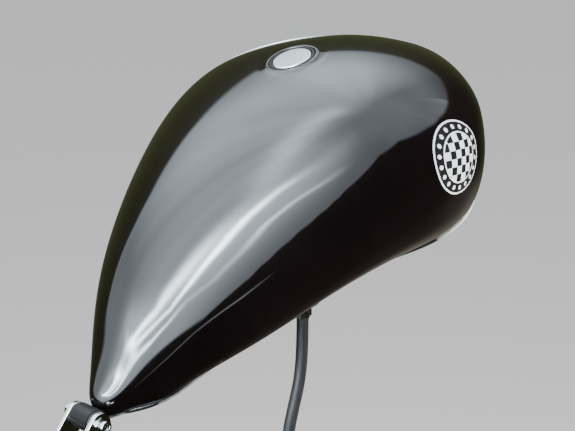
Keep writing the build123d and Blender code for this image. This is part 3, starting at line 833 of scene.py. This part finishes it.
def roundel_grid():
    """A round patch: each point of a disc square to the skin is slid over the skin until it stands over its place."""
    gap = np.linalg.norm(skin - ROUNDEL_AT, axis=-1)
    row0, column0 = np.unravel_index(gap.argmin(), gap.shape)
    centre = skin[row0, column0]
    along = unit(skin[row0 + 3, column0] - skin[row0 - 3, column0])
    normal = unit(np.cross(along, skin[row0, column0 + 3] - skin[row0, column0 - 3]))
    normal *= -np.sign(normal[1])
    upright = unit(UP_IN_TANK - normal * (UP_IN_TANK @ normal))
    level = np.cross(upright, normal)
    reach = np.concatenate([np.linspace(0, 0.985, 40), [1.0]])
    target = reach[:, None, None] * spokes(full_turn(160)) * ROUNDEL_R
    row = np.full(target.shape[:2], float(row0))
    column = np.full(target.shape[:2], float(column0))
    for _ in range(12):
        away = on_skin(row, column) - centre
        miss = np.stack([away @ level, away @ upright], -1) - target
        by_row, by_column = skin_slopes(row, column)
        a, b = by_row @ level, by_column @ level
        c, d = by_row @ upright, by_column @ upright
        size = a * d - b * c
        row -= (d * miss[..., 0] - b * miss[..., 1]) / size
        column -= (a * miss[..., 1] - c * miss[..., 0]) / size
    outward = unit(np.cross(*skin_slopes(row, column)))
    outward *= np.sign(outward @ normal)[..., None]
    return on_skin(row, column), outward


def map_plan(made, centre, level, upright):
    """Gives each corner of the piece its place on the roundel's plan, from -1 to 1 each way."""
    mesh = made.data
    spots = np.empty(len(mesh.vertices) * 3)
    mesh.vertices.foreach_get("co", spots)
    corner = np.empty(len(mesh.loops), int)
    mesh.loops.foreach_get("vertex_index", corner)
    local = spots.reshape(-1, 3)[corner] - centre
    plan = np.column_stack([local @ level, local @ upright]) / (ROUNDEL_R * MM)
    mesh.uv_layers.new(name="plan").data.foreach_set("uv", plan.ravel())


roundel_skin, roundel_out = roundel_grid()
roundel_top = roundel_skin + roundel_out * ROUNDEL_LIFT
roundel_low = roundel_skin - roundel_out * ROUNDEL_SINK
roundel_loop = np.concatenate([roundel_top, roundel_low[::-1]])
roundel = piece("chequered_roundel", [(place(roundel_loop), False, True)], ENAMEL, sharp=70)
roundel_normal = place(roundel_out[0, 0], np.zeros(3)) / MM
roundel_upright = unit(np.array([0.0, 0.0, 1.0]) - roundel_normal * roundel_normal[2])
map_plan(roundel, place(roundel_skin[0, 0]), np.cross(roundel_upright, roundel_normal), roundel_upright)

# Filler neck and cap; every profile from here on is (radius, height) along its axis


def round_filler(profile, radius, closed):
    """A turned form round the filler's axis."""
    return turned(profile, filler_origin, UP, FORE, radius, closed, 144)


neck_profile = [
    (THROAT_R, -NECK_DEEP), (NECK_R, -NECK_DEEP), (NECK_R, 1.1), (28.6, NECK_PROUD), (26.9, NECK_PROUD), (26.1, 1.6),
    (26.1, -4.4), (THROAT_R, -4.4),
]
piece("neck_ring", [round_filler(neck_profile, 0.5, True)], GLOSS, "filler_neck", "neck_rim")
thread = [(19.2 - 0.55 * (k % 2), -5.0 - 0.95 * k) for k in range(16)]
cap_profile = [
    (0, -21), (18.2, -21), *thread[::-1], (19.2, -3.8), (20.6, -3.8), (20.6, -2.8), (24.6, -2.8), (24.6, -3.8),
    (25.8, -3.8), (25.8, 1.5), (25.1, 2.2), (23.0, 2.2), (22.3, 1.5), (22.3, -1.2), (14.1, -1.2), (14.1, -14.2),
    (0, -14.2),
]
seal_profile = [(20.6, -4.4), (24.6, -4.4), (24.6, -2.8), (20.6, -2.8)]
piece("cap_flange", [round_filler(cap_profile, 0.35, False)], SATIN, "cap_body", body="cap")
piece("cap_ring", [round_filler(seal_profile, 0.6, True)], RUBBER, "cap_seal", body="cap")

KNURLS = 72
KNURL_DEEP = 0.28


def knurled_knob():
    """The knob's disc: turned, with its wall pressed into fine upright knurls by a raised cosine round the rim."""
    profile = [
        (0, -1.2), (10.8, -1.2), (10.8, -13.2), (13.8, -13.2), (13.8, -1.2), (KNOB_R, -1.2), (KNOB_R, 1.0),
        (20.9, 2.2), (0, 2.35),
    ]
    line = rounded(profile, 0.45, False, 5)
    angle = full_turn(5 * KNURLS)
    on_wall = np.clip(1 - np.abs(line[:, 0] - KNOB_R) / 0.8, 0, 1) * np.clip((1.2 - line[:, 1]) / 0.6, 0, 1)
    dip = KNURL_DEEP * on_wall[:, None] * (0.5 - 0.5 * np.cos(KNURLS * angle))[None]
    reach = line[:, :1] - dip
    points = np.stack([reach * np.cos(angle), reach * np.sin(angle), np.broadcast_to(line[:, 1:], reach.shape)], -1)
    return place(points, filler_origin), False, True


piece("cap_disc", [knurled_knob()], POLISHED, "cap_knob", body="knob")


def turned_across(profile, origin, radius):
    """A turned ring on an axis that runs across the tank."""
    return turned(profile, origin, LEFT, FORE, radius, True)


# Front mount: a grommet and a sleeve in each ear
mount_zero = np.zeros(3)
for side_name, low, stands_for in (("right", -40.0, ("front_grommets", "front_sleeves")), ("left", 31.0, ())):
    high = low + 9.0
    grommet = [
        (6.0, low), (13.5, low), (13.5, low + 2), (10.2, low + 2.2), (10.2, high - 2.2), (13.5, high - 2),
        (13.5, high), (6.0, high),
    ]
    sleeve = [(4.2, low - 0.5), (6.0, low - 0.5), (6.0, high + 0.5), (4.2, high + 0.5)]
    piece(f"grommet_{side_name}", [turned_across(grommet, mount_zero, 0.7)], RUBBER, *stands_for[:1])
    piece(f"sleeve_{side_name}", [turned_across(sleeve, mount_zero, 0.35)], ZINC, *stands_for[1:])

# Rear mount: clevis bracket, eye's bush and sleeve, bolt, washers and nut
eye = row_point(EYE_X, 0, EYE_Z)
back_down = np.array([-cos(CHEEK_TILT), 0.0, -sin(CHEEK_TILT)])
cheek_y = np.cross(LEFT, back_down)
cheek_outline = [(0, 0, 12), (55, -9, 3), (55, 9, 3)]
bolt_hole = [(0, 0, 4.2)]
cheeks = [
    plate(cheek_outline, bolt_hole, low, low + CHEEK_THICK, eye, back_down, cheek_y, 0.9) for low in (-23.0, 17.0)
]
base_at = eye + back_down * BASE_AT
base = plate(rectangle(17.5, 11, 1.0), bolt_hole, 0, 8, base_at, LEFT, np.cross(back_down, LEFT), 0.7)
piece("clevis_bracket", [*cheeks, base], CHROME, "rear_bracket")
bush = [(6, -16.5), (12, -16.5), (12, -14), (9.5, -13.8), (9.5, 13.8), (12, 14), (12, 16.5), (6, 16.5)]
piece("eye_bush", [turned_across(bush, eye, 0.6)], RUBBER, "rear_bush")
eye_sleeve = [(4.2, -17), (6, -17), (6, 17), (4.2, 17)]
piece("eye_sleeve", [turned_across(eye_sleeve, eye, 0.3)], ZINC, "rear_sleeve")


def socket_bolt():
    """Bolt: from the floor of its hexagon socket, out over the domed head, under it and along the shank."""
    key, way = hull(hexagon(6.0, 0.25))
    rings = [(key * 0, -28.2), (key - way * 0.2, -28.4), (key, -28.8), (key, -32.2), (key + way * 0.35, -32.6)]
    head = [
        (4.9, -32.6), (5.4, -32.5), (6.0, -32.2), (6.35, -31.7), (6.5, -31.1), (6.5, -30.4), (6.5, -25.4),
        (6.4, -24.8), (6.1, -24.6), (4.4, -24.6), (4.0, -24.2), (4.0, -23), (4.0, 34.0), (3.9, 34.6), (3.4, 35.2),
        (0.0, 35.2),
    ]
    rings += [(way * reach, height) for reach, height in head]
    return place(stacked(rings), eye, FORE, np.cross(LEFT, FORE), LEFT), False, True


piece("socket_bolt", [socket_bolt()], CHROME, "rear_bolt", sharp=40)
washers = [
    turned_across([(4.1, low), (8, low), (8, low + 1.6), (4.1, low + 1.6)], eye, 0.35) for low in (-24.6, 23.0)
]
piece("eye_washers", washers, CHROME, "rear_washers")
nut = plate(hexagon(13.0, 0.9), [(0, 0, 4.05)], 24.6, 32.6, eye, FORE, np.cross(LEFT, FORE), 0.8)
piece("eye_nut", [nut], CHROME, "rear_nut")

# Tap: union nut, housing with its boss and spigot, and handle
tap = row_point(TAP_X, TAP_Y, PAN_AT_TAP)
lever_axis = row_point(TAP_X, TAP_Y, PAN_AT_TAP - LEVER_DROP)
union = plate(hexagon(24.0, 1.6), [(0, 0, 4.0)], -15.5, -8.5, tap, FORE, LEFT, 1.0)
piece("tap_union", [union], CHROME, "tap_nut")
housing_profile = [
    (0, -34.5), (7.5, -34.5), (9.5, -32.5), (9.5, -30.6), (8.7, -30.0), (8.7, -18.6), (9.5, -18.0), (9.5, -15.5),
    (0, -15.5),
]
boss_profile = [(0, 0), (7, 0), (7, 18.6), (6.0, 19.5), (0, 19.5)]
spigot_profile = [
    (0, 0), (3.4, 0), (3.4, 6), (3.9, 8), (4.0, 10), (4.0, 24.4), (3.4, 25.0), (2.4, 25.0), (2.4, 12), (0, 12),
]
pip_profile = [(0, 22.0), (3.0, 22.0), (3.0, 23.9), (2.4, 24.3), (0, 24.3)]
piece("tap_housing", [
    turned(housing_profile, tap, UP, FORE, 0.7),
    turned(boss_profile, lever_axis, -LEFT, FORE, 0.6),
    turned(spigot_profile, spigot_top, DOWN, np.array([1.0, 0, 0]), 0.4),
], CHROME, "tap_body")
piece("tap_handle", [
    slab([(0, 0, 6.0), (-14.0, 0, 3.75)], 19.8, 22.8, lever_axis, FORE, np.cross(-LEFT, FORE), 0.7),
    turned(pip_profile, lever_axis, -LEFT, FORE, 0.4),
], CHROME, "tap_lever", body="lever")

# Hose
BRAID_STRANDS = 16
BRAID_HIGH = 0.22
HOSE_BORE_R = 4.05
HOSE_END_R = 0.6
HOSE_AROUND = 176
HOSE_RINGS = 420
BORE_RINGS = 24
hose_at = run_along(hose_line)
hose_run = hose_at[-1] / MM


def along_hose(at):
    """Points of the hose's line, in metres, at distances from its start in millimetres."""
    return np.stack([np.interp(at * MM, hose_at, hose_line[:, k]) for k in range(3)], -1)


def braid_height(turn, run):
    """Braid: two families of strands cross at 45 degrees, and each cell shows the strand that lies on top."""
    across = BRAID_STRANDS * turn / (2 * pi)
    pitch = 2 * pi * HOSE_R / BRAID_STRANDS
    first, second = across + run / pitch, across - run / pitch
    u, v = first % 1, second % 1
    on_top = (np.floor(first) + np.floor(second)) % 2 < 1
    wide, long = np.where(on_top, u, v), np.where(on_top, v, u)
    return np.sqrt(np.clip(1 - (2 * wide - 1) ** 2 * 0.96, 0, 1)) * (0.45 + 0.55 * np.sin(pi * long))


def hose_grid():
    """Hose: rings along its line, standing out by the braid's height, with rounded ends and a bore."""
    outer_at = np.linspace(0, hose_run, HOSE_RINGS)
    inner_at = np.linspace(hose_run, 0, BORE_RINGS)
    end = np.clip(np.minimum(outer_at, hose_run - outer_at) / HOSE_END_R, 0, 1)[:, None]
    turn = full_turn(HOSE_AROUND)
    relief = braid_height(turn[None], outer_at[:, None])
    outer = HOSE_R - BRAID_HIGH - HOSE_END_R * (1 - end) ** 2 + BRAID_HIGH * relief * end
    reach = np.concatenate([outer, np.full((BORE_RINGS, HOSE_AROUND), HOSE_BORE_R)])
    middle = along_hose(np.concatenate([outer_at, inner_at]))
    side, rise = square_to(unit(np.gradient(middle[:HOSE_RINGS], axis=0)))
    back = np.linspace(HOSE_RINGS - 1, 0, BORE_RINGS).astype(int)
    side, rise = np.concatenate([side, side[back]]), np.concatenate([rise, rise[back]])
    cosine, sine = spokes(turn).T[..., None]
    spread = side[:, None] * cosine + rise[:, None] * sine
    height = np.concatenate([relief * end, np.zeros((BORE_RINGS, HOSE_AROUND))])
    return middle[:, None] + spread * reach[..., None] * MM, height


hose_mesh, hose_relief = hose_grid()
hose = piece("braided_hose", [(hose_mesh, True, True)], HOSE, "fuel_hose", sharp=60)
set_layer(hose, "braid_height", hose_relief)
line_way = unit(np.diff(hose_line, axis=0))
CLAMP_FROM_END = 9.5
BAND_PROFILE = [(6.6, -4.5), (7.55, -4.5), (7.75, -3.9), (7.75, 3.9), (7.55, 4.5), (6.6, 4.5)]
SCREW_PROFILE = [(0, 0), (1.9, 0), (1.9, 10.5), (0, 10.5)]


def band_clamp(name, at, stands_for):
    """Hose clamp: a thin band round the hose, its screw housing, the screw and the screw's head."""
    middle = along_hose(at) / MM
    last = len(line_way) - 1
    way = line_way[min(int(at / hose_run * last), last)]
    side, front = square_to(way)
    screw_at = middle + front * 8.9 - side * 4.0
    return piece(name, [
        turned(BAND_PROFILE, middle, way, side, 0.25, True),
        slab(rectangle(3.4, 2.6, 0.5), 6.6, 11.0, middle, way, -side, 0.5),
        turned(SCREW_PROFILE, screw_at, side, way, 0.3, around=48),
        slab(hexagon(6.0, 0.4), 10.0, 12.6, screw_at, way, np.cross(side, way), 0.4),
    ], ZINC, stands_for)


top_clamp = band_clamp("top_clamp", CLAMP_FROM_END, "hose_clamp")
low_clamp = band_clamp("low_clamp", hose_run - CLAMP_FROM_END, "end_clamp")
end_at = hose_line[-1] / MM
end_way = unit(hose_points[-1] - hose_points[-2])
end_side, end_front = square_to(end_way)
tail_profile = [
    (3.0, 5), (4.5, 5), (4.5, 12), (4.9, 12.6), (4.5, 14.6), (4.5, 16), (4.9, 16.6), (4.5, 18.6), (4.3, 21.2),
    (3.7, 22), (3.0, 22),
]
end_fitting = piece("hose_fitting", [
    plate(hexagon(15.0, 1.0), [(0, 0, 3.2)], 0, 7, end_at, end_side, end_front, 0.8),
    turned(tail_profile, end_at, end_way, end_side, 0.4, True),
], BRASS, "hose_end")

# Finishes of the nodes that stay
for name, look in (
    ("tank_bottom", PAN), ("backbone_tunnel", PAN), ("front_ears", PAN), ("rear_eye", SATIN), ("tap_bung", PAN),
):
    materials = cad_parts[name].data.materials
    materials.clear()
    materials.append(look[0])

# Floor, reflector dome and light, in metres
FLOOR_Z = -1.6
FLOOR_REACH = 14.0
FLOOR_COLOUR = (0.74, 0.735, 0.72)
DOME_RADIUS = 5.0
DOME_RINGS = 240
DOME_COLUMNS = 360

# Lower edge of the bright part of the reflector dome: azimuth and elevation in degrees
DOME_EDGE = (
    (-180, -18), (-150, -15), (-135, -12), (-130, -2), (-124, 30), (-116, 50), (-100, 58), (-60, 56), (-30, 50),
    (-10, 42), (20, 30), (60, 34), (76, 33), (86, 31), (94, 28), (104, 24), (109, 19), (113, 10), (119, -2),
    (135, -6), (150, -9), (180, -18),
)
# Soft lamp strips on the dome, each along a path: azimuth, elevation, half width and brightness at its points
LAMP_STRIPS = (
    ((162, 4, 1.2, 2), (166, 1, 1.4, 12), (172, 1, 1.6, 36), (179, 4, 1.9, 54), (188, 8, 2.8, 44), (191, 15, 4.2, 40),
     (194, 21, 4.6, 36), (195, 29, 4.6, 24), (196, 38, 5.0, 8), (197, 48, 5.0, 0)),
    ((169, 2, 1.2, 14), (175, 0, 1.3, 34), (184, 0, 1.4, 46), (192, 2, 1.4, 36), (200, 6, 1.5, 36), (203, 15, 1.8, 55),
     (204, 27, 1.9, 74), (203, 38, 1.8, 62), (204, 47, 1.8, 24), (206, 52, 2.6, 6), (208, 58, 3.0, 0)),
    ((174, 2, 1.2, 16), (180, -2, 1.2, 30), (188, -5, 1.3, 40), (197, -5, 1.3, 36), (204, -1, 1.6, 16),
     (208, 6, 2.0, 5), (215, 10, 2.0, 4), (217, 20, 1.6, 7), (216, 30, 1.2, 15), (218, 37, 1.3, 9), (224, 44, 2.0, 3),
     (228, 52, 2.0, 0)),
    ((160, 6, 6.0, 4), (180, 4, 9.0, 5), (192, 8, 11.0, 6), (202, 20, 11.0, 5), (204, 40, 11.0, 4), (205, 52, 10.0, 1),
     (206, 60, 9.0, 0)),
    ((197, 50, 4.0, 2), (186, 58, 4.5, 5), (174, 66, 4.5, 5), (146, 73, 4.5, 5), (115, 78, 4.5, 4), (95, 80, 4.5, 0)),
    ((50, -8, 2.2, 8), (50.5, -3, 2.4, 8), (51, 1, 2.4, 6), (51, 3, 2.2, 0)),
    ((217, -30, 0.6, 1), (221, -26, 0.6, 2), (226, -19, 0.6, 2), (230, -16, 0.6, 3), (235, -13, 0.6, 4),
     (239, -8, 0.6, 0)),
)
STRIP_STEPS = 24
EDGE_BLUR = 2.0
SKY_LOW = (1.4, 4.3)
SKY_HIGH = 5.4
ZENITH = 2.2
SHADE_RIGHT = 0.02
SHADE_LEFT = 0.075
FLOOR_GLOW = 0.19
SKY_TINT = np.array([0.80, 0.92, 1.0])
GREEN_TINT = np.array([0.89, 1.0, 0.44])
WARM_TINT = np.array([1.0, 0.9, 0.8])


def cos_degrees(angle):
    """Cosine of an angle in degrees."""
    return np.cos(np.radians(angle))


def facing(azimuth, elevation):
    """Unit vectors of directions in degrees."""
    turn, rise = np.radians(azimuth), np.radians(elevation)
    return np.stack([np.cos(rise) * np.cos(turn), np.cos(rise) * np.sin(turn), np.sin(rise)], -1)


def strip_light(strip, away):
    """Light of a lamp strip: a bell curve of the angle to its path, which is cut into short steps."""
    knots = np.array(strip, float)
    at = np.linspace(0, len(knots) - 1, STRIP_STEPS * len(knots))
    azimuth, elevation, half, gain = (np.interp(at, np.arange(len(knots)), knots[:, k]) for k in range(4))
    light = np.zeros(away.shape[:-1])
    for way, width, level in zip(facing(azimuth, elevation), half, gain):
        off = np.degrees(np.arccos(np.clip(away @ way, -1, 1)))
        light = np.maximum(light, level * np.exp(-((off / width) ** 2)))
    return light


def sky_light(azimuth, elevation):
    """Low down a level that rises from the left towards the back, higher up an even one, and one at the zenith.

    The first two are dimmer in front, on the right and low on the left, with slight ripples along the azimuth.
    """
    turn = azimuth % 360
    low = SKY_LOW[0] + SKY_LOW[1] * smooth(turn, 116, 194)
    level = low + (SKY_HIGH - low) * smooth(elevation, 14, 52)
    level = level * np.where(turn < 180, 0.27 + 0.73 * smooth(turn, 14, 52), 1 - 0.68 * smooth(turn, 206, 236))
    level = level * (1 - 0.6 * (1 - smooth(turn, 72, 98)) * (1 - smooth(elevation, 30, 62)))
    level = level * (1 + 0.07 * np.sin(np.radians(7 * azimuth)) + 0.04 * np.sin(np.radians(17 * azimuth + 40)))
    return level + (ZENITH - level) * smooth(elevation - 8 * cos_degrees(azimuth - 100), 62, 84)


def dark_light(azimuth, elevation):
    """Nearly dark on the right, green grey on the left, and a warm glow of the floor in front."""
    shade = SHADE_RIGHT + SHADE_LEFT * smooth(cos_degrees(azimuth - 90), 0.1, 0.7) * smooth(elevation, -50, 0)
    ahead = 0.5 * smooth(azimuth, -44, -14) + 0.5 * smooth(azimuth, -4, 30)
    ahead = ahead * (1 - smooth(azimuth, 66, 114))
    glow = FLOOR_GLOW * ahead * smooth(-elevation, 12, 25) * (1 - 0.65 * smooth(-elevation, 34, 46))
    return shade[..., None] * GREEN_TINT + glow[..., None] * WARM_TINT


def dome_light(azimuth, elevation):
    """Light of the dome by direction in degrees: sky above its edge, dark below it, and the strips over both."""
    edge = np.interp(azimuth, *np.array(DOME_EDGE, float).T)
    bright = smooth(elevation, edge - EDGE_BLUR, edge + EDGE_BLUR)
    away = facing(azimuth, elevation)
    strips = sum(strip_light(strip, away) for strip in LAMP_STRIPS)
    sky = (sky_light(azimuth, elevation) * bright + strips)[..., None] * SKY_TINT
    return sky + dark_light(azimuth, elevation) * (1 - bright[..., None])


def stage_piece(name, points, faces, finish):
    """A piece of the stage, which isn't part of the object."""
    mesh = bpy.data.meshes.new(name)
    mesh.from_pydata(points, [], faces)
    mesh.materials.append(finish.material)
    made = add_object(name, mesh)
    return made


def make_floor():
    """A plain pale square floor, which takes light but isn't in any reflection."""
    corners = [(x * FLOOR_REACH, y * FLOOR_REACH, FLOOR_Z) for x, y in ((-1, -1), (1, -1), (1, 1), (-1, 1))]
    finish = Finish("pale_floor", FLOOR_COLOUR, 0.9, Specular_IOR_Level=0.0)
    made = stage_piece("pale_floor", corners, [(0, 1, 2, 3)], finish)
    made.visible_glossy = False


def make_dome():
    """Reflector dome: a sphere of rings from below to above, each point glowing as dome_light says of its direction.

    It shows only in reflections, so that it neither hides, lights nor shades anything.
    """
    turn, rise = np.meshgrid(
        np.linspace(-180, 180, DOME_COLUMNS, endpoint=False), np.linspace(-89.9, 89.9, DOME_RINGS),
    )
    points = facing(turn, rise) * DOME_RADIUS
    finish = Finish("reflector_dome", (0, 0, 0), 0.9, Specular_IOR_Level=0.0, Emission_Strength=1.0)
    finish.feed("Emission Color", finish.add("ShaderNodeAttribute", attribute_name="dome_glow").outputs["Color"])
    faces = grid_faces(DOME_RINGS, DOME_COLUMNS, False, True)
    made = stage_piece("reflector_dome", points.reshape(-1, 3), faces, finish)
    made.data.shade_smooth()
    glow = np.concatenate([dome_light(turn, rise), np.ones((*turn.shape, 1))], -1)
    layer = made.data.attributes.new("dome_glow", "FLOAT_COLOR", "POINT")
    layer.data.foreach_set("color", glow.ravel().astype(np.float32))
    made.visible_camera = False
    made.visible_diffuse = False
    made.visible_shadow = False
    made.visible_transmission = False
    made.visible_volume_scatter = False


def soft_light(name, at, size, power, colour):
    """A large square lamp that faces the tank and doesn't show in reflections."""
    lamp = bpy.data.lights.new(name, "AREA")
    lamp.shape = "SQUARE"
    lamp.size = size
    lamp.energy = power
    lamp.color = colour
    holder = add_object(name, lamp)
    back = unit(np.array(at))
    side = unit(np.cross([0.0, 1.0, 0.2], back))
    pose = np.eye(4)
    pose[:3] = np.column_stack([side, np.cross(back, side), back, at])
    holder.matrix_world = Matrix(pose.tolist())
    holder.visible_glossy = False


make_floor()
make_dome()
soft_light("overhead_light", (-0.6, -0.4, 2.6), 2.2, 95.0, (1.0, 0.99, 0.97))
soft_light("right_fill", (-1.4, -2.2, 1.0), 1.6, 18.0, (0.95, 0.97, 1.0))
soft_light("nose_fill", (0.9, -1.7, -0.45), 0.9, 100.0, (1.0, 1.0, 0.99))
world = bpy.data.worlds.new("studio")
scene.world = world
world.use_nodes = True
backdrop = world.node_tree.nodes["Background"].inputs
backdrop["Color"].default_value = (0.86, 0.88, 0.9, 1.0)
backdrop["Strength"].default_value = 1.0
